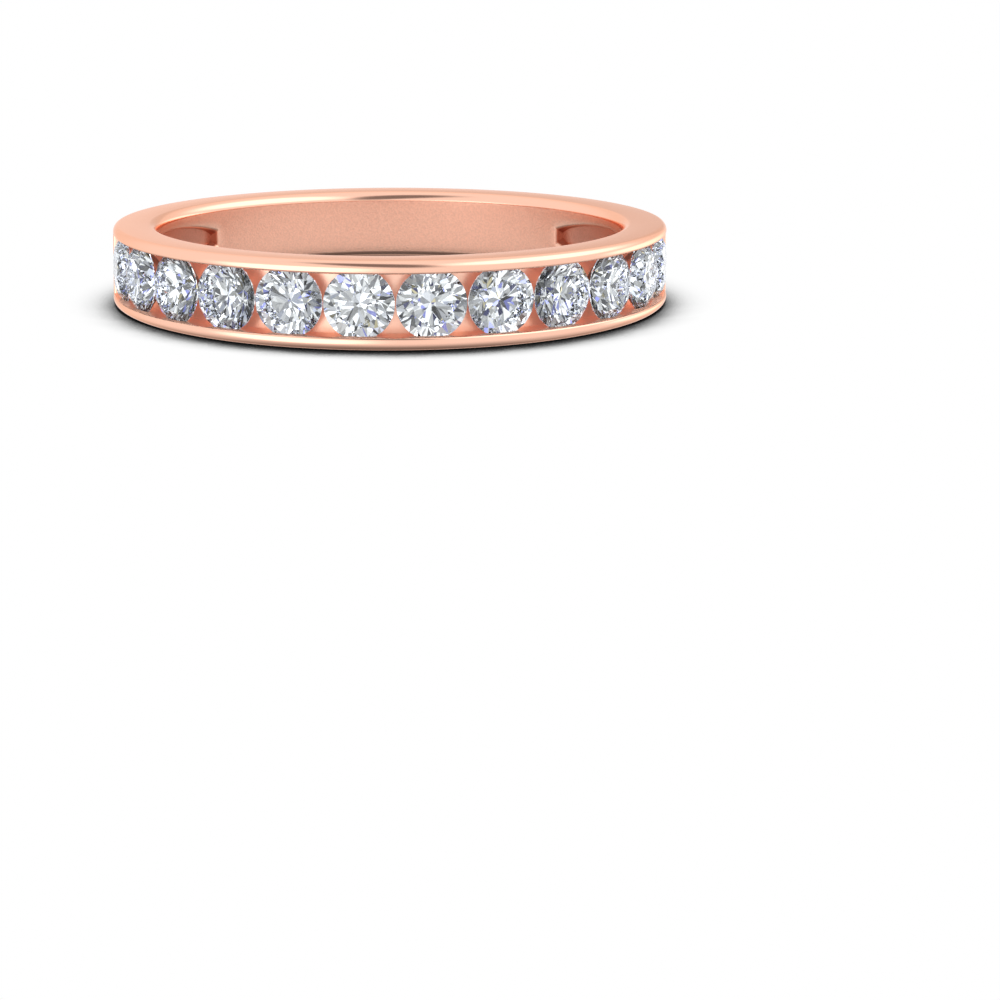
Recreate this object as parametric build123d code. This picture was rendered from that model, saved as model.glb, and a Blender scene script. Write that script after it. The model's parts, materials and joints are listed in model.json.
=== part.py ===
from build123d import *
from build123d.topology import SkipClean
import math
import os

# Half-eternity wedding band, 14 k rose gold, twelve channel-set round brilliants.
# Frame: millimetres, origin at the middle of the finger hole, +Z along the finger,
# the stones to the front (-Y). Angles round the band count from the middle of the stones.

# --- band -------------------------------------------------------------------------------------
FINGER_DIAMETER = 17.35          # US ring size 7
HEAD_WIDTH = 3.26                # along the finger, where the stones are
BACK_WIDTH = 2.58                # the side faces close in evenly towards the back
HEAD_THICKNESS = 1.75            # wall between finger hole and outer face
BACK_THICKNESS = 1.58
OUTER_EDGE_RADIUS = 0.19
INNER_EDGE_RADIUS = 0.34         # the softer edge that the finger feels

# --- stones -----------------------------------------------------------------------------------
STONE_COUNT = 12
STONE_PITCH = 15.1               # degrees from one stone to the next
STONE_DIAMETER = 2.59            # about 0.07 ct each
GIRDLE_DISTANCE = 9.88           # from the finger axis to the lower edge of a girdle
GIRDLE_THICKNESS = 0.08
TABLE_RATIO = 0.60               # table width over stone diameter
CROWN_ANGLE = 34.5
PAVILION_ANGLE = 40.8
STAR_LENGTH = 0.50               # how far the star facets reach from the table to the girdle
LOWER_HALF_LENGTH = 0.77         # how far the lower halves reach from the girdle to the culet
CULET_RADIUS = 0.012
SPIN_STEP = 17.0                 # degrees; the setter drops the stones in turned at random

# --- channel and seats ------------------------------------------------------------------------
CHANNEL_WIDTH = 2.30             # between the rails; the stones reach 0.145 under each
CHANNEL_FLOOR_DISTANCE = 9.40    # from the finger axis
LIP_RADIUS = 0.08                # the burnished edge of the channel
SEAT_CLEARANCE = 0.012
CULET_HOLE_RADIUS = 0.50         # the window under each stone
CULET_HOLE_REACH = 2.0           # from the girdle inward, past the recess floor

# --- recess inside the head -------------------------------------------------------------------
RECESS_DEPTH = 0.38
RECESS_HALF_WIDTH = 0.76
RECESS_END_ANGLE = 131.7         # degrees each way from the middle of the stones
RECESS_TAPER_START = 2.10        # y where the sides begin to draw in
RECESS_TAPER_LENGTH = 3.95       # half axis of the ellipse that they follow
RECESS_BEVEL = 0.07

# --- worked out from the above ----------------------------------------------------------------
BORE_RADIUS = FINGER_DIAMETER / 2
OUTER_DIAMETER = FINGER_DIAMETER + HEAD_THICKNESS + BACK_THICKNESS
OUTER_SHIFT = (BACK_THICKNESS - HEAD_THICKNESS) / 2
STONE_RADIUS = STONE_DIAMETER / 2
LAST_STONE_ANGLE = STONE_PITCH * (STONE_COUNT - 1) / 2
CHANNEL_END_ANGLE = LAST_STONE_ANGLE + math.degrees(math.atan2(CHANNEL_WIDTH / 2, GIRDLE_DISTANCE))

EIGHTH = 45.0                    # degrees from one main facet of a brilliant to the next
SIXTEENTH = EIGHTH / 2
FAR = 15.0                       # clear of the band on every side
NEAR = 0.001                     # a point this close to a face lies on it
EDGE_SAMPLES = (0.0, 0.25, 0.5, 0.75, 1.0)


def head_location(angle):
    """The radial frame at an angle from the middle of the stones: z outward, x along the band."""
    turn = math.radians(angle - 90)
    outward = (math.cos(turn), math.sin(turn), 0)
    along = (-math.sin(turn), math.cos(turn), 0)
    return Plane(origin=(0, 0, 0), x_dir=along, z_dir=outward).location


def ring_sector(inner, outer, width, half_angle):
    """A piece of a rectangular ring that reaches half_angle each way from the middle."""
    section = Pos((inner + outer) / 2, 0) * Rectangle(outer - inner, width)
    swept = revolve(Plane.XZ * section, Axis.Z, 2 * half_angle)
    return Rot(0, 0, -90 - half_angle) * swept


def make_blank():
    """The band before any stone work: two round faces, two flat sides that close in, soft edges."""
    front = OUTER_SHIFT - OUTER_DIAMETER / 2
    back = OUTER_SHIFT + OUTER_DIAMETER / 2
    slope = (HEAD_WIDTH - BACK_WIDTH) / 2 / (back - front)

    def half_width(y):
        return HEAD_WIDTH / 2 - slope * (y - front)

    corners = [(-FAR, -half_width(-FAR)), (FAR, -half_width(FAR))]
    corners += [(FAR, half_width(FAR)), (-FAR, half_width(-FAR))]
    side_view = Plane.YZ * Polygon(*corners, align=None)
    wedge = extrude(side_view, FAR, both=True)
    outside = Pos(0, OUTER_SHIFT, 0) * Cylinder(OUTER_DIAMETER / 2, HEAD_WIDTH * 2)
    ring = (outside & wedge) - Cylinder(BORE_RADIUS, HEAD_WIDTH * 2)
    rims = ring.edges().filter_by(GeomType.ELLIPSE).sort_by(SortBy.LENGTH)
    ring = fillet(rims[2:], OUTER_EDGE_RADIUS)
    rims = ring.edges().filter_by(GeomType.ELLIPSE).sort_by(SortBy.LENGTH)
    return fillet(rims[:2], INNER_EDGE_RADIUS)


def cut_channel(ring):
    """The channel that holds the stones, with square ends and a rounded lip."""
    before = ring.edges()
    ring = ring - ring_sector(CHANNEL_FLOOR_DISTANCE, FAR, CHANNEL_WIDTH, CHANNEL_END_ANGLE)
    new_edges = ring.edges() - before
    outline = [edge for edge in new_edges if is_on_round_face(edge, OUTER_DIAMETER / 2, OUTER_SHIFT)]
    return fillet(outline, LIP_RADIUS)


def is_on_round_face(edge, radius, middle_y):
    """True for an edge that lies all along the round face with this radius and middle."""
    points = [edge.position_at(share) for share in EDGE_SAMPLES]
    return all(abs(math.hypot(p.X, p.Y - middle_y) - radius) < NEAR for p in points)


def cut_recess(ring):
    """The shallow hollow inside the head, whose ends draw in to a narrow square tip."""
    floor = BORE_RADIUS + RECESS_DEPTH
    hollow = ring_sector(BORE_RADIUS - 1, floor, 2 * RECESS_HALF_WIDTH, RECESS_END_ANGLE)
    straight = Rectangle(RECESS_TAPER_START + FAR, 2 * RECESS_HALF_WIDTH)
    straight = Pos((RECESS_TAPER_START - FAR) / 2, 0) * straight
    drawn_in = Pos(RECESS_TAPER_START, 0) * Ellipse(RECESS_TAPER_LENGTH, RECESS_HALF_WIDTH)
    outline = extrude(Plane.YZ * (straight + drawn_in), FAR, both=True)
    return ring - (hollow & outline)


def make_seat_cutter():
    """The bur that cuts one seat: culet window, pavilion cone, girdle groove and crown bevel."""
    star_radius, star_height = star_point()
    lower_radius, lower_depth = lower_half_point()
    groove_radius = STONE_RADIUS + SEAT_CLEARANCE
    cone_slope = lower_depth / (STONE_RADIUS - lower_radius)
    cone_end = -(groove_radius - CULET_HOLE_RADIUS) * cone_slope
    top = GIRDLE_THICKNESS + star_height
    outline = [(0, -CULET_HOLE_REACH), (CULET_HOLE_RADIUS, -CULET_HOLE_REACH)]
    outline += [(CULET_HOLE_RADIUS, cone_end), (groove_radius, 0), (groove_radius, GIRDLE_THICKNESS)]
    outline += [(star_radius + SEAT_CLEARANCE, top), (0, top)]
    return revolve(Plane.XZ * Polygon(*outline, align=None), Axis.Z)


def star_point():
    """Radius and height above the girdle of the point of a star facet."""
    table_edge = STONE_RADIUS * TABLE_RATIO * math.cos(math.radians(SIXTEENTH))
    radius = table_edge + STAR_LENGTH * (STONE_RADIUS - table_edge)
    reach = STONE_RADIUS - radius * math.cos(math.radians(SIXTEENTH))
    return radius, reach * math.tan(math.radians(CROWN_ANGLE))


def lower_half_point():
    """Radius and depth below the girdle of the inner point of the lower halves."""
    radius = (1 - LOWER_HALF_LENGTH) * STONE_RADIUS
    reach = STONE_RADIUS - radius * math.cos(math.radians(SIXTEENTH))
    return radius, reach * math.tan(math.radians(PAVILION_ANGLE))


def polar(radius, azimuth, height):
    turn = math.radians(azimuth)
    return Vector(radius * math.cos(turn), radius * math.sin(turn), height)


def grind(stone, a, b, c):
    """Grinds away what lies outside the flat facet through three points."""
    normal = (b - a).cross(c - a)
    if normal.dot(a - Vector(0, 0, GIRDLE_THICKNESS / 2)) < 0:
        normal = normal * -1
    return split(stone, bisect_by=Plane(origin=a, z_dir=normal), keep=Keep.BOTTOM)


def make_brilliant():
    """A round brilliant, table up, ground facet by facet from a round blank. The lower edge of
    the girdle is at z = 0."""
    table_radius = STONE_RADIUS * TABLE_RATIO
    crown_height = (STONE_RADIUS - table_radius) * math.tan(math.radians(CROWN_ANGLE))
    table_height = GIRDLE_THICKNESS + crown_height
    culet_depth = (STONE_RADIUS - CULET_RADIUS) * math.tan(math.radians(PAVILION_ANGLE))
    star_radius, star_height = star_point()
    lower_radius, lower_depth = lower_half_point()
    stone = Cylinder(STONE_RADIUS, table_height + culet_depth)
    stone = Pos(0, 0, (table_height - culet_depth) / 2) * stone
    for eighth in range(8):
        main = EIGHTH * eighth
        between = main + SIXTEENTH
        next_main = main + EIGHTH
        girdle_top = polar(STONE_RADIUS, main, GIRDLE_THICKNESS)
        girdle_bottom = polar(STONE_RADIUS, main, 0)
        star = polar(star_radius, between, GIRDLE_THICKNESS + star_height)
        star_before = polar(star_radius, between - EIGHTH, GIRDLE_THICKNESS + star_height)
        lower = polar(lower_radius, between, -lower_depth)
        lower_before = polar(lower_radius, between - EIGHTH, -lower_depth)
        table_here = polar(table_radius, main, table_height)
        table_next = polar(table_radius, next_main, table_height)
        stone = grind(stone, girdle_top, star, star_before)
        stone = grind(stone, girdle_bottom, lower, lower_before)
        stone = grind(stone, table_here, table_next, star)
        top_between = polar(STONE_RADIUS, between, GIRDLE_THICKNESS)
        bottom_between = polar(STONE_RADIUS, between, 0)
        for side in (main, next_main):
            stone = grind(stone, star, polar(STONE_RADIUS, side, GIRDLE_THICKNESS), top_between)
            stone = grind(stone, lower, polar(STONE_RADIUS, side, 0), bottom_between)
    return stone


def bevel_recess_edge(ring):
    """A small bevel where the recess meets the finger hole."""
    rim = []
    for edge in ring.edges():
        box = edge.bounding_box()
        beside_recess = max(-box.min.Z, box.max.Z) < RECESS_HALF_WIDTH + NEAR
        if beside_recess and is_on_round_face(edge, BORE_RADIUS, 0):
            rim.append(edge)
    return chamfer(rim, RECESS_BEVEL)


def part_bore_wall(ring):
    """Keeps the wall of the finger hole as three bands, so that each has gold behind its middle:
    a whole one on either side of the recess, and one between them round the back."""
    above_recess = Plane.XY.offset(RECESS_HALF_WIDTH + RECESS_BEVEL)
    below_recess = Plane.XY.offset(-RECESS_HALF_WIDTH - RECESS_BEVEL)
    upper = split(ring, bisect_by=above_recess, keep=Keep.TOP)
    rest = split(ring, bisect_by=above_recess, keep=Keep.BOTTOM)
    middle = split(rest, bisect_by=below_recess, keep=Keep.TOP)
    lower = split(rest, bisect_by=below_recess, keep=Keep.BOTTOM)
    with SkipClean():
        return middle + upper + lower


def make_band(stone_places):
    ring = cut_channel(make_blank())
    ring = bevel_recess_edge(cut_recess(ring))
    cutter = make_seat_cutter()
    for place in stone_places:
        ring = ring - place * cutter
    return part_bore_wall(ring)


stone_places = []
for number in range(STONE_COUNT):
    angle = (number - (STONE_COUNT - 1) / 2) * STONE_PITCH
    stone_places.append(head_location(angle) * Pos(0, 0, GIRDLE_DISTANCE))

os.makedirs("parts", exist_ok=True)
band = make_band(stone_places)
export_step(band, "parts/band.step")
brilliant = make_brilliant()
for number, place in enumerate(stone_places, start=1):
    spin = (number * SPIN_STEP) % EIGHTH
    export_step(place * Rot(0, 0, spin) * brilliant, f"parts/diamond_{number:02d}.step")
print("band volume", round(band.volume, 2), "stone volume", round(brilliant.volume, 3))
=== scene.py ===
import json
import math
import bmesh
import bpy
from mathutils import Euler, Matrix, Vector


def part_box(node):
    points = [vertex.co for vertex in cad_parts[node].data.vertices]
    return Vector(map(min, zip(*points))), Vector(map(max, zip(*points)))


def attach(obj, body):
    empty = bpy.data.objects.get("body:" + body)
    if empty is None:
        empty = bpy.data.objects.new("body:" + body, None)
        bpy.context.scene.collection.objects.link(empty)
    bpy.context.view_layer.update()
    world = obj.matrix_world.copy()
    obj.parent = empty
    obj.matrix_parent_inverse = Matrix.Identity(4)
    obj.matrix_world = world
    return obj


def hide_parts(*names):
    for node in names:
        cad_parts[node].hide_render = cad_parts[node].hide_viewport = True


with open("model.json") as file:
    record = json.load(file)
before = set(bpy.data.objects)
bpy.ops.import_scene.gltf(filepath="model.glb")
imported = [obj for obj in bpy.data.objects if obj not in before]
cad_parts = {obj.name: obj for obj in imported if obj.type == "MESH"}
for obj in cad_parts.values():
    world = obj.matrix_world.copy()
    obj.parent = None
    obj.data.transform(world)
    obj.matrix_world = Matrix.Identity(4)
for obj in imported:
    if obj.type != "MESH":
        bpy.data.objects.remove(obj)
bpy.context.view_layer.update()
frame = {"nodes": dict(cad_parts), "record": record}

# Half-eternity wedding band in rose gold with twelve channel-set round brilliants.
# Sizes are in millimetres and the scene is in metres. +Z runs along the finger and the stones
# face -Y. Angles round the band are in degrees and count from the middle of the stones.

MM = 0.001

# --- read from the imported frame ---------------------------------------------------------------
band_low, band_high = (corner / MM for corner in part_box("band"))
mounts = {mount["name"]: mount for mount in frame["record"]["mounts"]}
BORE_RADIUS = mounts["finger_bore"]["dims"]["r_mm"]
OUTER_RADIUS = (band_high.x - band_low.x) / 2
OUTER_SHIFT = (band_high.y + band_low.y) / 2
REST_AXIS = Vector(mounts["side_rest"]["axis"])
REST_HEIGHT = mounts["side_rest"]["pos_m"][2] / MM
SIDE_SLOPE = -REST_AXIS.y / REST_AXIS.z
STONES = sorted(name for name in frame["nodes"] if name.startswith("diamond"))

# --- band details -----------------------------------------------------------------------------
OUTER_EDGE_RADIUS = 0.275        # beside the stones
OUTER_EDGE_RADIUS_BEHIND = 0.20
INNER_EDGE_RADIUS = 0.34
CHANNEL_HALF_WIDTH = 1.15
CHANNEL_FLOOR = 9.40             # from the finger axis
CHANNEL_END = 89.69              # degrees each way
LIP_RADIUS = 0.08                # the burnished edge of the channel
LIP_ROOM = 1.05 * LIP_RADIUS     # what the rounded outer edge leaves free for it
RECESS_FLOOR = 9.055             # from the finger axis
RECESS_HALF_WIDTH = 0.76
RECESS_END = 131.7               # degrees each way
RECESS_TAPER_START = 2.10        # y where the sides begin to draw in
RECESS_TAPER_LENGTH = 3.95       # half axis of the ellipse that they follow
RECESS_RIM_RADIUS = 0.12

# --- stone seats ------------------------------------------------------------------------------
STONE_PITCH = 15.1               # degrees from one stone to the next
GIRDLE_DISTANCE = 9.88           # from the finger axis to the lower edge of a girdle
GROOVE_RADIUS = 1.307
GROOVE_HEIGHT = 0.08
CROWN_BEVEL_RADIUS = 1.018
CROWN_BEVEL_HEIGHT = 0.331
WINDOW_RADIUS = 0.50             # the round window under each stone
WINDOW_DEPTH = 0.7125            # from the girdle to where the pavilion cone meets the window
WINDOW_REACH = 2.0               # from the girdle inward, past the recess floor

# --- mesh fineness ----------------------------------------------------------------------------
COLUMN_STEP = 1.5                # degrees
EDGE_STEPS = 8                   # faces round a rounded edge
LIP_STEPS = 4
SEAT_STEPS = 64
ACROSS = (-1.0, -0.5, 0.0, 0.5, 1.0)
SAME_CORNER = 5                  # decimals in which coinciding corners agree
SHARP_ANGLE = 32                 # degrees between faces that don't shade as one

# Finishes of the band, in the order of its material slots. The recess's darker gold is painted
# shade, and the channel's glow is painted light.
POLISHED, SATIN, CHANNEL, RECESS = range(4)


# ----------------------------------------------------------------------------------------------
# The band's surfaces
# ----------------------------------------------------------------------------------------------

def spot(radius, angle, height):
    """The point at a radius, an angle round the band and a height along the finger."""
    turn = math.radians(angle)
    return (radius * math.sin(turn), -radius * math.cos(turn), height)


def outer_radius(angle):
    """Distance from the finger axis to the outer face, whose own middle lies a little forward."""
    turn = math.radians(angle)
    across = OUTER_SHIFT * math.sin(turn)
    return math.sqrt(OUTER_RADIUS ** 2 - across ** 2) - OUTER_SHIFT * math.cos(turn)


def half_width(radius, angle):
    """Height of the flat side face, which comes lower towards the back."""
    y = -radius * math.cos(math.radians(angle))
    return -REST_HEIGHT - SIDE_SLOPE * y


def recess_half_width(radius, angle):
    """Half width of the recess: straight at the front, elliptical towards its tips and held at
    the tip's width past them."""
    angle = max(-RECESS_END, min(RECESS_END, angle))
    y = -radius * math.cos(math.radians(angle))
    share = max(0.0, (y - RECESS_TAPER_START) / RECESS_TAPER_LENGTH)
    return RECESS_HALF_WIDTH * math.sqrt(max(0.0, 1 - share ** 2))


def degrees_along(length, radius):
    return math.degrees(length / radius)


LIP_END = CHANNEL_END + degrees_along(LIP_RADIUS, outer_radius(CHANNEL_END))
RIM_END = RECESS_END + degrees_along(RECESS_RIM_RADIUS, BORE_RADIUS)


def column_angles():
    """Angles of the mesh's columns: even steps, and exactly where the lip and the rim end."""
    special = [LIP_END, -LIP_END, RIM_END, -RIM_END]
    count = round(360 / COLUMN_STEP)
    even = [COLUMN_STEP * (i - count / 2 + 0.5) for i in range(count)]
    keep = [a for a in even if min(abs(a - s) for s in special) > COLUMN_STEP / 2]
    return sorted(keep + special)


COLUMNS = column_angles()


def columns_between(start, end):
    """Columns from start round to end, past the back if end is the smaller one."""
    if start < end:
        return [a for a in COLUMNS if start <= a <= end]
    return [a for a in COLUMNS if a >= start] + [a for a in COLUMNS if a <= end]


class Builder:
    """Gathers faces, with corners that coincide shared."""

    def __init__(self):
        self.corners = []
        self.index = {}
        self.faces = []
        self.finishes = []

    def corner(self, point):
        """Number of the corner at this point, which is new only if nothing is there yet."""
        key = tuple(round(value, SAME_CORNER) for value in point)
        if key not in self.index:
            self.index[key] = len(self.corners)
            self.corners.append(tuple(value * MM for value in point))
        return self.index[key]

    def grid(self, rows, finish, closed=False):
        """Faces between neighbouring rows of points, which are equally long."""
        for upper, lower in zip(rows, rows[1:]):
            count = len(upper)
            for i in range(count if closed else count - 1):
                j = (i + 1) % count
                loop = [self.corner(p) for p in (upper[i], upper[j], lower[j], lower[i])]
                loop = list(dict.fromkeys(loop))
                if len(loop) > 2:
                    self.faces.append(loop)
                    self.finishes.append(finish)

    def mesh(self, name):
        mesh = bpy.data.meshes.new(name)
        mesh.from_pydata(self.corners, [], self.faces)
        mesh.polygons.foreach_set("material_index", self.finishes)
        shape = bmesh.new()
        shape.from_mesh(mesh)
        bmesh.ops.recalc_face_normals(shape, faces=shape.faces)
        shape.to_mesh(mesh)
        shape.free()
        return mesh


def arc_steps(count):
    """The turns of a quarter round, in radians."""
    return [math.radians(90 * k / count) for k in range(count + 1)]


def outer_edge_radius(angle):
    """Radius of the outer edge, kept clear of the channel's lip where the band gets narrower."""
    room = half_width(outer_radius(angle), angle) - CHANNEL_HALF_WIDTH - LIP_ROOM
    return max(OUTER_EDGE_RADIUS_BEHIND, min(OUTER_EDGE_RADIUS, room))


def outer_rim_height(angle):
    return half_width(outer_radius(angle), angle) - outer_edge_radius(angle)


def inner_rim_height(angle):
    return half_width(BORE_RADIUS, angle) - INNER_EDGE_RADIUS


def add_sides(build):
    """Both flat sides with the rounded edges on either hand of them."""
    for side in (1, -1):
        rows = []
        for turn in arc_steps(EDGE_STEPS):
            row = []
            for angle in COLUMNS:
                edge = outer_edge_radius(angle)
                radius = outer_radius(angle) - edge * (1 - math.cos(turn))
                height = half_width(radius, angle) - edge * (1 - math.sin(turn))
                row.append(spot(radius, angle, side * height))
            rows.append(row)
        for turn in reversed(arc_steps(EDGE_STEPS)):
            row = []
            for angle in COLUMNS:
                radius = BORE_RADIUS + INNER_EDGE_RADIUS * (1 - math.cos(turn))
                height = half_width(radius, angle) - INNER_EDGE_RADIUS * (1 - math.sin(turn))
                row.append(spot(radius, angle, side * height))
            rows.append(row)
        build.grid(rows, POLISHED, closed=True)


def pocket_columns(end):
    """Columns of a pocket that reaches end degrees each way, with one at either end of it."""
    inside = [a for a in COLUMNS if abs(a) < end - COLUMN_STEP / 4]
    return [-end] + inside + [end]


def frame_path(end, half_height, radius):
    """A closed path round a pocket: end is its half length in degrees, and half_height and radius
    are functions of the angle."""
    along = pocket_columns(end)
    down = ACROSS[-2:0:-1]
    path = [spot(radius(a), a, half_height(a)) for a in along]
    path += [spot(radius(end), end, half_height(end) * f) for f in down]
    path += [spot(radius(a), a, -half_height(a)) for a in reversed(along)]
    path += [spot(radius(-end), -end, -half_height(-end) * f) for f in down]
    return path


def pocket_floor(end, half_height, radius):
    """Rows of points across the floor of a pocket."""
    along = pocket_columns(end)
    return [[spot(radius, a, half_height(a) * f) for a in along] for f in ACROSS]


def channel_edge(angle):
    """Half width of the channel, the same all the way."""
    return CHANNEL_HALF_WIDTH


def add_channel(build):
    """The outer face, the lip, and the channel's walls and floor."""
    paths = []
    for turn in arc_steps(LIP_STEPS):
        out = LIP_RADIUS * (1 - math.cos(turn))
        depth = LIP_RADIUS * (1 - math.sin(turn))
        end = CHANNEL_END + degrees_along(out, outer_radius(CHANNEL_END))
        paths.append(frame_path(end, lambda a: CHANNEL_HALF_WIDTH + out,
                                lambda a: outer_radius(a) - depth))
    build.grid(paths, POLISHED, closed=True)
    wall = [
        frame_path(CHANNEL_END, channel_edge, lambda a: outer_radius(a) - LIP_RADIUS),
        frame_path(CHANNEL_END, channel_edge, lambda a: CHANNEL_FLOOR),
    ]
    build.grid(wall, CHANNEL, closed=True)
    build.grid(pocket_floor(CHANNEL_END, channel_edge, CHANNEL_FLOOR), CHANNEL)

    lip_edge = CHANNEL_HALF_WIDTH + LIP_RADIUS
    front = columns_between(-LIP_END, LIP_END)
    for side in (1, -1):
        edge = [spot(outer_radius(a), a, side * lip_edge) for a in front]
        rim = [spot(outer_radius(a), a, side * outer_rim_height(a)) for a in front]
        build.grid([edge, rim], POLISHED)
    share = lip_edge / outer_rim_height(LIP_END)
    fractions = [-1.0] + [share * f for f in ACROSS] + [1.0]
    back = columns_between(LIP_END, -LIP_END)
    rows = [[spot(outer_radius(a), a, f * outer_rim_height(a)) for a in back] for f in fractions]
    build.grid(rows, POLISHED)


def recess_path(end, radius, out=0.0):
    """A closed path round the recess at this radius, out beyond its sides."""
    return frame_path(end, lambda a: recess_half_width(radius, a) + out, lambda a: radius)


def add_recess(build):
    """The wall of the finger hole and the shallow recess with its softened rim."""
    paths = []
    for turn in arc_steps(LIP_STEPS):
        out = RECESS_RIM_RADIUS * (1 - math.cos(turn))
        radius = BORE_RADIUS + RECESS_RIM_RADIUS * (1 - math.sin(turn))
        end = RECESS_END + degrees_along(out, BORE_RADIUS)
        paths.append(recess_path(end, radius, out))
    build.grid(paths, SATIN, closed=True)
    wall_radii = (BORE_RADIUS + RECESS_RIM_RADIUS, RECESS_FLOOR)
    build.grid([recess_path(RECESS_END, r) for r in wall_radii], RECESS, closed=True)
    floor = pocket_floor(RECESS_END, lambda a: recess_half_width(RECESS_FLOOR, a), RECESS_FLOOR)
    build.grid(floor, RECESS)

    front = columns_between(-RIM_END, RIM_END)
    for side in (1, -1):
        rows = []
        for share in (0.0, 0.5, 1.0):
            row = []
            for a in front:
                edge = recess_half_width(BORE_RADIUS, a) + RECESS_RIM_RADIUS
                height = edge + share * (inner_rim_height(a) - edge)
                row.append(spot(BORE_RADIUS, a, side * height))
            rows.append(row)
        build.grid(rows, SATIN)
    tip = recess_half_width(BORE_RADIUS, RIM_END) + RECESS_RIM_RADIUS
    share = tip / inner_rim_height(RIM_END)
    middle = (1 + share) / 2
    fractions = [-1.0, -middle] + [share * f for f in ACROSS] + [middle, 1.0]
    back = columns_between(RIM_END, -RIM_END)
    rows = [[spot(BORE_RADIUS, a, f * inner_rim_height(a)) for a in back] for f in fractions]
    build.grid(rows, SATIN)


# ----------------------------------------------------------------------------------------------
# The seats
# ----------------------------------------------------------------------------------------------

def head_matrix(angle):
    """The frame of a stone: z outward, x along the band."""
    turn = math.radians(angle)
    outward = Vector((math.sin(turn), -math.cos(turn), 0))
    along = Vector((math.cos(turn), math.sin(turn), 0))
    matrix = Matrix((along, outward.cross(along), outward)).transposed().to_4x4()
    matrix.translation = outward * GIRDLE_DISTANCE * MM
    return matrix


# Outline of one seat as radius and height over the girdle's lower edge: the window, the cone
# for the pavilion, the groove for the girdle and the bevel for the crown
SEAT_PROFILE = (
    (0.0, -WINDOW_REACH),
    (WINDOW_RADIUS, -WINDOW_REACH),
    (WINDOW_RADIUS, -WINDOW_DEPTH),
    (GROOVE_RADIUS, 0.0),
    (GROOVE_RADIUS, GROOVE_HEIGHT),
    (CROWN_BEVEL_RADIUS, CROWN_BEVEL_HEIGHT),
    (0.0, CROWN_BEVEL_HEIGHT),
)


def seat_cutters(angles):
    """One mesh with the turned cutter of each of these seats."""
    build = Builder()
    for angle in angles:
        place = head_matrix(angle)
        rows = []
        for radius, height in SEAT_PROFILE:
            row = []
            for step in range(SEAT_STEPS):
                turn = 2 * math.pi * step / SEAT_STEPS
                point = Vector((radius * math.cos(turn), radius * math.sin(turn), height))
                row.append(tuple(place @ (point * MM) / MM))
            rows.append(row)
        build.grid(rows, CHANNEL, closed=True)
    return bpy.data.objects.new("seat_cutters", build.mesh("seat_cutters"))


def cut(piece, cutter):
    """Cuts the cutter out of the piece for good, and deletes the cutter."""
    bpy.context.scene.collection.objects.link(cutter)
    modifier = piece.modifiers.new("cut", "BOOLEAN")
    modifier.operation = "DIFFERENCE"
    modifier.solver = "EXACT"
    modifier.material_mode = "INDEX"
    modifier.object = cutter
    keep_modified(piece)
    mesh = cutter.data
    bpy.data.objects.remove(cutter)
    bpy.data.meshes.remove(mesh)


def keep_modified(piece):
    """Applies a piece's modifiers."""
    graph = bpy.context.evaluated_depsgraph_get()
    graph.update()
    mesh = bpy.data.meshes.new_from_object(piece.evaluated_get(graph))
    old = piece.data
    name = old.name
    piece.modifiers.clear()
    piece.data = mesh
    bpy.data.meshes.remove(old)
    mesh.name = name


def make_band():
    """The gold, as one closed mesh. Neighbouring seats touch, so they are cut in two rounds."""
    build = Builder()
    add_sides(build)
    add_channel(build)
    add_recess(build)
    piece = bpy.data.objects.new("rose_gold_band", build.mesh("rose_gold_band"))
    bpy.context.scene.collection.objects.link(piece)
    for finish in GOLD_FINISHES_AND_PAINTED_LIGHT:
        piece.data.materials.append(gold(*finish))
    middle = (len(STONES) - 1) / 2
    angles = [STONE_PITCH * (i - middle) for i in range(len(STONES))]
    cut(piece, seat_cutters(angles[0::2]))
    cut(piece, seat_cutters(angles[1::2]))
    piece.data.shade_smooth()
    piece.data.set_sharp_from_angle(angle=math.radians(SHARP_ANGLE))
    even = piece.modifiers.new("normals", "WEIGHTED_NORMAL")
    even.keep_sharp = True
    keep_modified(piece)
    piece.visible_transmission = False      # no gold shows in the stones
    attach(piece, "root")
    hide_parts("band")


# ----------------------------------------------------------------------------------------------
# Materials
# ----------------------------------------------------------------------------------------------

GOLD = (0.95, 0.56, 0.42)
CHANNEL_GOLD = (0.93, 0.57, 0.44)
# Painted light: a glow that stands in for the light the channel's close walls throw back
CHANNEL_PAINTED_GLOW = (0.10, 0.064, 0.05)      # what the close walls throw back at each other
# The recess's gold is darkened: painted shade in the hollow
RECESS_GOLD_PAINTED_SHADE = (0.70, 0.36, 0.27)
GOLD_AT_EDGES = (0.97, 0.73, 0.61)      # what the gold mirrors at a glancing angle
BLACK = (0.0, 0.0, 0.0)
# Name, colour, painted glow, lowest and highest roughness, fineness and strength of the grain
GOLD_FINISHES_AND_PAINTED_LIGHT = (
    ("rose_gold_polished", GOLD, BLACK, 0.11, 0.17, 900, 0),
    ("rose_gold_satin", GOLD, BLACK, 0.26, 0.38, 14000, 0.9),
    ("rose_gold_channel", CHANNEL_GOLD, CHANNEL_PAINTED_GLOW, 0.32, 0.42, 3000, 0),
    ("rose_gold_recess_painted_shade", RECESS_GOLD_PAINTED_SHADE, BLACK, 0.26, 0.38, 14000, 0.9),
)
GRAIN_DETAIL = 3
GRAIN_RELIEF = 0.01 * MM
GRAIN_SHADE = 0.88                      # darkest grains against the lightest
GRAIN_EDGES = (0.35, 0.65)
DIAMOND_TINT = (0.98, 0.985, 1.0)
DIAMOND_IOR = 2.42
DIAMOND_SHEEN = (0.22, 0.22, 0.22)      # tones down what the crown mirrors
UNDERSIDE = -0.1 * MM                   # limit of the facets that count as facing the finger


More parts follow.
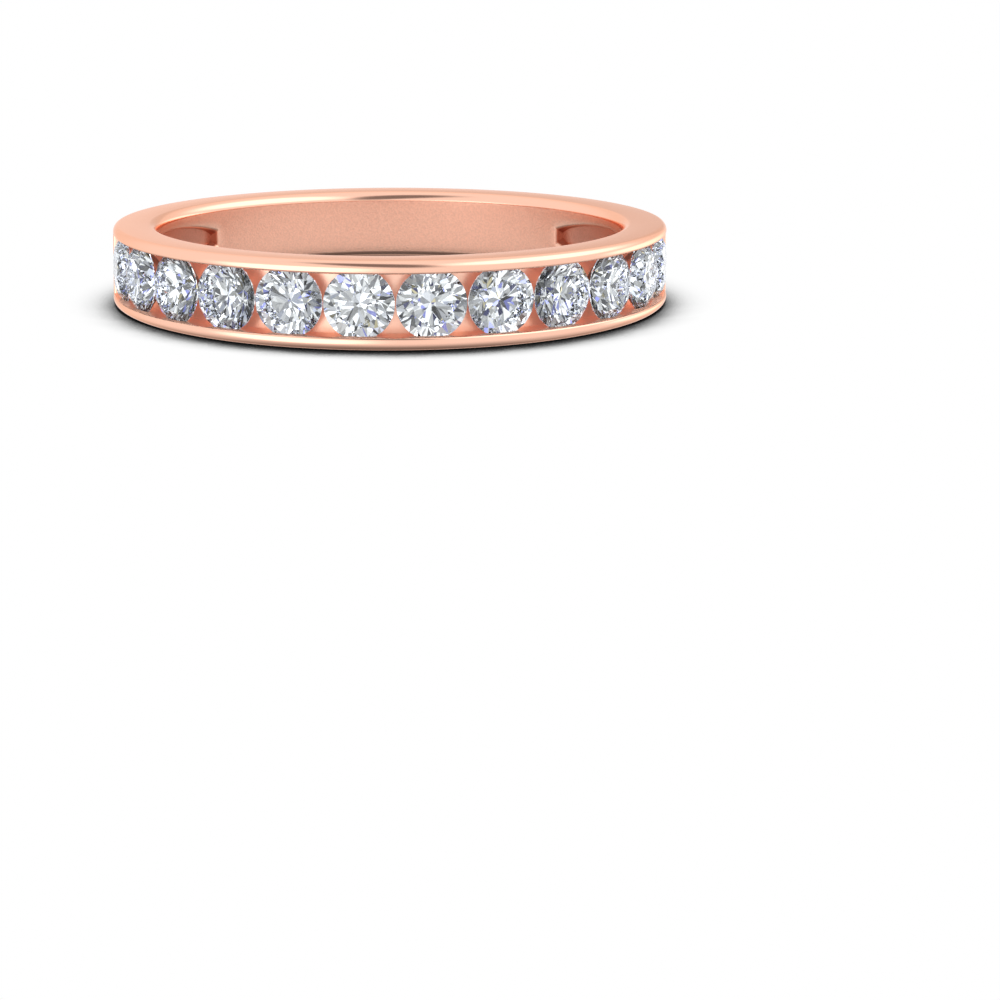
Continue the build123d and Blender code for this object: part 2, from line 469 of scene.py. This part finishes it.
class Graph:
    """The node tree of a material or a world, emptied, with a short way to add nodes."""

    def __init__(self, owner):
        owner.use_nodes = True
        self.nodes = owner.node_tree.nodes
        self.links = owner.node_tree.links
        self.nodes.clear()

    def add(self, kind, inputs=None, **settings):
        """A new node. Each input is a value, a colour or another node's output."""
        node = self.nodes.new("ShaderNode" + kind)
        for name, value in settings.items():
            setattr(node, name, value)
        for key, value in (inputs or {}).items():
            socket = node.inputs[key]
            if isinstance(value, bpy.types.NodeSocket):
                self.links.new(value, socket)
            elif socket.type == "RGBA":
                socket.default_value = (*value, 1)
            else:
                socket.default_value = value
        return node

    def math(self, operation, *values):
        """Output of a Math node."""
        inputs = dict(enumerate(values))
        return self.add("Math", inputs, operation=operation).outputs["Value"]

    def ramp(self, factor, stops, interpolation="LINEAR"):
        """Colour output of a ramp. Its stops are positions with a grey level or a colour."""
        node = self.add("ValToRGB", {"Fac": factor})
        node.color_ramp.interpolation = interpolation
        elements = node.color_ramp.elements
        while len(elements) < len(stops):
            elements.new(0.5)
        for element, (position, level) in zip(elements, stops):
            colour = level if isinstance(level, tuple) else (level, level, level)
            element.position = position
            element.color = (*colour, 1)
        return node.outputs["Color"]


def gold(name, colour, painted_glow, smooth, rough, scale, grain):
    """Rose gold whose roughness wanders between smooth and rough, with a relief and a change of
    shade if it is grained, and a painted glow if it is given one."""
    material = bpy.data.materials.new(name)
    graph = Graph(material)
    place = graph.add("TexCoord").outputs["Object"]
    noise = graph.add("TexNoise", {"Vector": place, "Scale": scale, "Detail": GRAIN_DETAIL})
    grains = noise.outputs["Fac"]
    spread = graph.add("MapRange", {"Value": grains, "To Min": smooth, "To Max": rough})
    inputs = {
        "Metallic": 1.0,
        "Base Color": colour,
        "Specular Tint": GOLD_AT_EDGES,
        "Roughness": spread.outputs["Result"],
    }
    if grain:
        relief = {"Strength": grain, "Distance": GRAIN_RELIEF, "Height": grains}
        inputs["Normal"] = graph.add("Bump", relief).outputs["Normal"]
        shades = (tuple(GRAIN_SHADE * value for value in colour), colour)
        inputs["Base Color"] = graph.ramp(grains, tuple(zip(GRAIN_EDGES, shades)))
    # A painted glow, put on as emission in place of light bounced between close walls
    if painted_glow != BLACK:
        inputs["Emission Color"] = painted_glow
        inputs["Emission Strength"] = 1.0
    shader = graph.add("BsdfPrincipled", inputs)
    graph.add("OutputMaterial", {"Surface": shader.outputs["BSDF"]})
    return material


def diamond():
    """Diamond whose facets towards the finger mirror. This stands in for a brilliant's total
    reflection, and keeps the gold below it out of sight."""
    material = bpy.data.materials.new("diamond_facets")
    graph = Graph(material)
    place = graph.add("NewGeometry").outputs
    flat = graph.add("VectorMath", {0: place["Position"], 1: (1, 1, 0)}, operation="MULTIPLY")
    outward, normal = flat.outputs["Vector"], place["True Normal"]
    facing = graph.add("VectorMath", {0: outward, 1: normal}, operation="DOT_PRODUCT")
    # the normal is turned round where a ray meets the facet from inside the stone
    side = graph.math("MULTIPLY_ADD", place["Backfacing"], -2.0, 1.0)
    signed = graph.math("MULTIPLY", facing.outputs["Value"], side)
    shader = graph.add("BsdfPrincipled", {
        "Base Color": DIAMOND_TINT,
        "Specular Tint": DIAMOND_SHEEN,
        "Roughness": 0.0,
        "IOR": DIAMOND_IOR,
        "Transmission Weight": 1.0,
        "Metallic": graph.math("LESS_THAN", signed, UNDERSIDE),
    })
    graph.add("OutputMaterial", {"Surface": shader.outputs["BSDF"]})
    return material


# ----------------------------------------------------------------------------------------------
# Floor, light and camera
# ----------------------------------------------------------------------------------------------

WHITE = (1.0, 1.0, 1.0)
FLOOR_SIZE = 4.0                        # metres
SHADOW_SAMPLES = 16
SHADOW_REACH = 2.2 * MM
SHADOW_LEAN = (0.0, 0.64, 0.77)         # direction that the floor's light comes from
SHADOW_STOPS = (
    (0.34, 0.006), (0.42, 0.01), (0.48, 0.02), (0.55, 0.11), (0.62, 0.40), (0.69, 0.66),
    (0.75, 0.81), (0.81, 0.90), (0.87, 0.96), (0.94, 1.0),
)
INNER_FLOOR_STOPS = ((0.45, 0.12), (0.7, 0.55), (1.0, 1.0))
CAMERA_AIM = Vector((4.05, -1.90, -8.78)) * MM
CAMERA_AZIMUTH = -2.12                  # degrees
CAMERA_ELEVATION = 11.26
CAMERA_DISTANCE = 229.36 * MM
CAMERA_LENS = 220.5
CAMERA_SENSOR = 36
CAMERA_CLIP_START = 0.01
LIGHT_BOUNCES = 32
STONE_BOUNCES = 24                      # light crosses a stone many times before it gets out


def make_floor():
    """A plain white sheet under the band's lower side, grey where the band shuts the light out.
    The metal mirrors the sheet only inside the band, and the studio outside it."""
    half = FLOOR_SIZE / 2
    mesh = bpy.data.meshes.new("floor")
    corners = []
    for x, y in ((-half, -half), (half, -half), (half, half), (-half, half)):
        corners.append((x, y, REST_HEIGHT * MM + SIDE_SLOPE * y))
    mesh.from_pydata(corners, [], [(0, 1, 2, 3)])
    floor = bpy.data.objects.new("floor", mesh)
    bpy.context.scene.collection.objects.link(floor)
    floor.visible_transmission = False
    mesh.materials.append(floor_material())


def floor_material():
    """The white that the camera sees, and what the metal mirrors of it."""
    material = bpy.data.materials.new("white_floor")
    graph = Graph(material)
    lean = graph.add("CombineXYZ", dict(enumerate(SHADOW_LEAN))).outputs["Vector"]
    shade = graph.add("AmbientOcclusion", {
        "Distance": SHADOW_REACH,
        "Normal": lean,
    }, samples=SHADOW_SAMPLES)
    open_sky = shade.outputs["AO"]
    outer = graph.add("Emission", {"Color": graph.ramp(open_sky, SHADOW_STOPS)})
    inner = graph.add("Emission", {"Color": graph.ramp(open_sky, INNER_FLOOR_STOPS)})
    place = graph.add("TexCoord").outputs["Object"]
    away = graph.add("VectorMath", {0: place}, operation="LENGTH").outputs["Value"]
    mirrored = graph.add("MixShader", {
        "Fac": graph.math("LESS_THAN", away, BORE_RADIUS * MM),
        1: graph.add("BsdfTransparent").outputs["BSDF"],
        2: inner.outputs["Emission"],
    })
    seen = graph.add("MixShader", {
        "Fac": graph.add("LightPath").outputs["Is Camera Ray"],
        1: mirrored.outputs["Shader"],
        2: outer.outputs["Emission"],
    })
    graph.add("OutputMaterial", {"Surface": seen.outputs["Shader"]})
    return material


# Brightness of the studio by direction: 0 is straight down, 0.5 level and 1 straight up
SKY_STOPS = ((0.0, 0.12), (0.11, 0.30), (0.24, 0.44), (0.33, 0.52), (0.42, 0.54), (1.0, 0.55))
SKY_GLOW = 2.0
# Soft panels: azimuth, elevation, half width, half height and tilt in degrees, and the light
# that each adds or takes
PANELS = (
    (-42, -9, 46, 24, 0, 1.0),
    (80, 42, 64, 32, 0, 0.95),
    (-5, 45, 21, 54, 28, -0.85),
    (128, -4, 38, 18, 0, 0.8),
    (178, 14, 60, 26, 0, -0.05),
    (170, 12, 14, 14, 0, -0.2),
    (180, -50, 70, 36, 0, -0.22),
)
PANEL_DEPTH = 1.5
PANEL_EDGE = 0.5                        # how far in from its outline a panel is fully lit
# What the stones gather: a mosaic of lamps and gaps, brighter towards both sides, with the
# brightness of its cells and then their tints
MOSAIC_SCALE = 7.0
MOSAIC_BOOST = (0.76, 2.1)
MOSAIC_STOPS = ((0.0, 0.05), (0.17, 0.24), (0.37, 0.57), (0.6, 0.9), (0.8, 1.18), (1.0, 1.65))
TINT_STOPS = (
    (0.0, (0.70, 0.64, 0.40)), (0.05, (0.97, 1.0, 0.97)), (0.45, (0.94, 0.98, 1.0)),
    (0.84, (0.80, 0.87, 1.0)), (0.92, (0.40, 0.44, 1.0)),
)


def panel_mask(graph, direction, azimuth, elevation, across, up, tilt):
    """A soft-edged ellipse round a direction, as a value from 0 to 1."""
    turn, rise = math.radians(azimuth), math.radians(elevation)
    level = math.cos(rise)
    outward = Vector((math.sin(turn) * level, -math.cos(turn) * level, math.sin(rise)))
    sideways = Vector((math.cos(turn), math.sin(turn), 0))
    axes = Matrix((sideways, outward.cross(sideways), outward)).transposed()
    axes = axes @ Matrix.Rotation(math.radians(tilt), 3, "Z")
    place = graph.add("Mapping", {
        "Vector": direction,
        "Location": outward,
        "Rotation": axes.to_euler(),
        "Scale": (math.sin(math.radians(across)), math.sin(math.radians(up)), PANEL_DEPTH),
    }, vector_type="TEXTURE").outputs["Vector"]
    ball = graph.add("TexGradient", {"Vector": place}, gradient_type="SPHERICAL")
    edge = {"Value": ball.outputs["Fac"], "From Max": PANEL_EDGE}
    return graph.add("MapRange", edge, interpolation_type="SMOOTHSTEP").outputs["Result"]


def studio_light(graph, direction):
    """Brightness of the studio as the metal mirrors it."""
    upward = graph.add("SeparateXYZ", {"Vector": direction}).outputs["Z"]
    height = graph.add("MapRange", {"Value": upward, "From Min": -1.0}).outputs["Result"]
    total = graph.math("MULTIPLY", graph.ramp(height, SKY_STOPS), SKY_GLOW)
    for *shape, change in PANELS:
        total = graph.math("MULTIPLY_ADD", panel_mask(graph, direction, *shape), change, total)
    return total


def stone_light(graph, direction):
    """Colour and strength of the studio as the stones gather it."""
    cells = graph.add("TexVoronoi", {"Vector": direction, "Scale": MOSAIC_SCALE})
    draw = graph.add("SeparateColor", {"Color": cells.outputs["Color"]})
    product = graph.add("Mix", {
        "Factor": 1.0,
        "A": graph.ramp(draw.outputs["Red"], MOSAIC_STOPS),
        "B": graph.ramp(draw.outputs["Green"], TINT_STOPS, "CONSTANT"),
    }, data_type="RGBA", blend_type="MULTIPLY")
    sideways = graph.add("SeparateXYZ", {"Vector": direction}).outputs["X"]
    boost = graph.add("MapRange", {
        "Value": graph.math("ABSOLUTE", sideways),
        "To Min": MOSAIC_BOOST[0],
        "To Max": MOSAIC_BOOST[1],
    })
    return product.outputs["Result"], boost.outputs["Result"]


def make_world():
    """A white backdrop for the camera, soft panels for the metal and a mosaic for the stones."""
    world = bpy.data.worlds.new("studio")
    bpy.context.scene.world = world
    graph = Graph(world)
    direction = graph.add("TexCoord").outputs["Generated"]
    metal = graph.add("Background", {"Color": WHITE, "Strength": studio_light(graph, direction)})
    colour, strength = stone_light(graph, direction)
    stones = graph.add("Background", {"Color": colour, "Strength": strength})
    white = graph.add("Background", {"Color": WHITE})
    path = graph.add("LightPath")
    through = graph.add("MixShader", {
        "Fac": path.outputs["Is Transmission Ray"],
        1: metal.outputs["Background"],
        2: stones.outputs["Background"],
    })
    seen = graph.add("MixShader", {
        "Fac": path.outputs["Is Camera Ray"],
        1: through.outputs["Shader"],
        2: white.outputs["Background"],
    })
    graph.add("OutputWorld", {"Surface": seen.outputs["Shader"]})


def make_camera():
    """The camera, turned by its azimuth and elevation and backed away from what it aims at."""
    data = bpy.data.cameras.new("camera")
    data.lens = CAMERA_LENS
    data.sensor_width = CAMERA_SENSOR
    data.clip_start = CAMERA_CLIP_START
    camera = bpy.data.objects.new("camera", data)
    bpy.context.scene.collection.objects.link(camera)
    turn = Euler((math.radians(90 - CAMERA_ELEVATION), 0, math.radians(CAMERA_AZIMUTH)))
    camera.rotation_euler = turn
    camera.location = CAMERA_AIM + turn.to_matrix() @ Vector((0, 0, CAMERA_DISTANCE))
    bpy.context.scene.camera = camera


cycles = bpy.context.scene.cycles
cycles.max_bounces = LIGHT_BOUNCES
cycles.glossy_bounces = STONE_BOUNCES
cycles.transmission_bounces = STONE_BOUNCES
bpy.context.scene.view_settings.view_transform = "Standard"
make_band()
stone_material = diamond()
for name in STONES:
    for slot in frame["nodes"][name].material_slots:
        slot.material = stone_material
make_floor()
make_world()
make_camera()
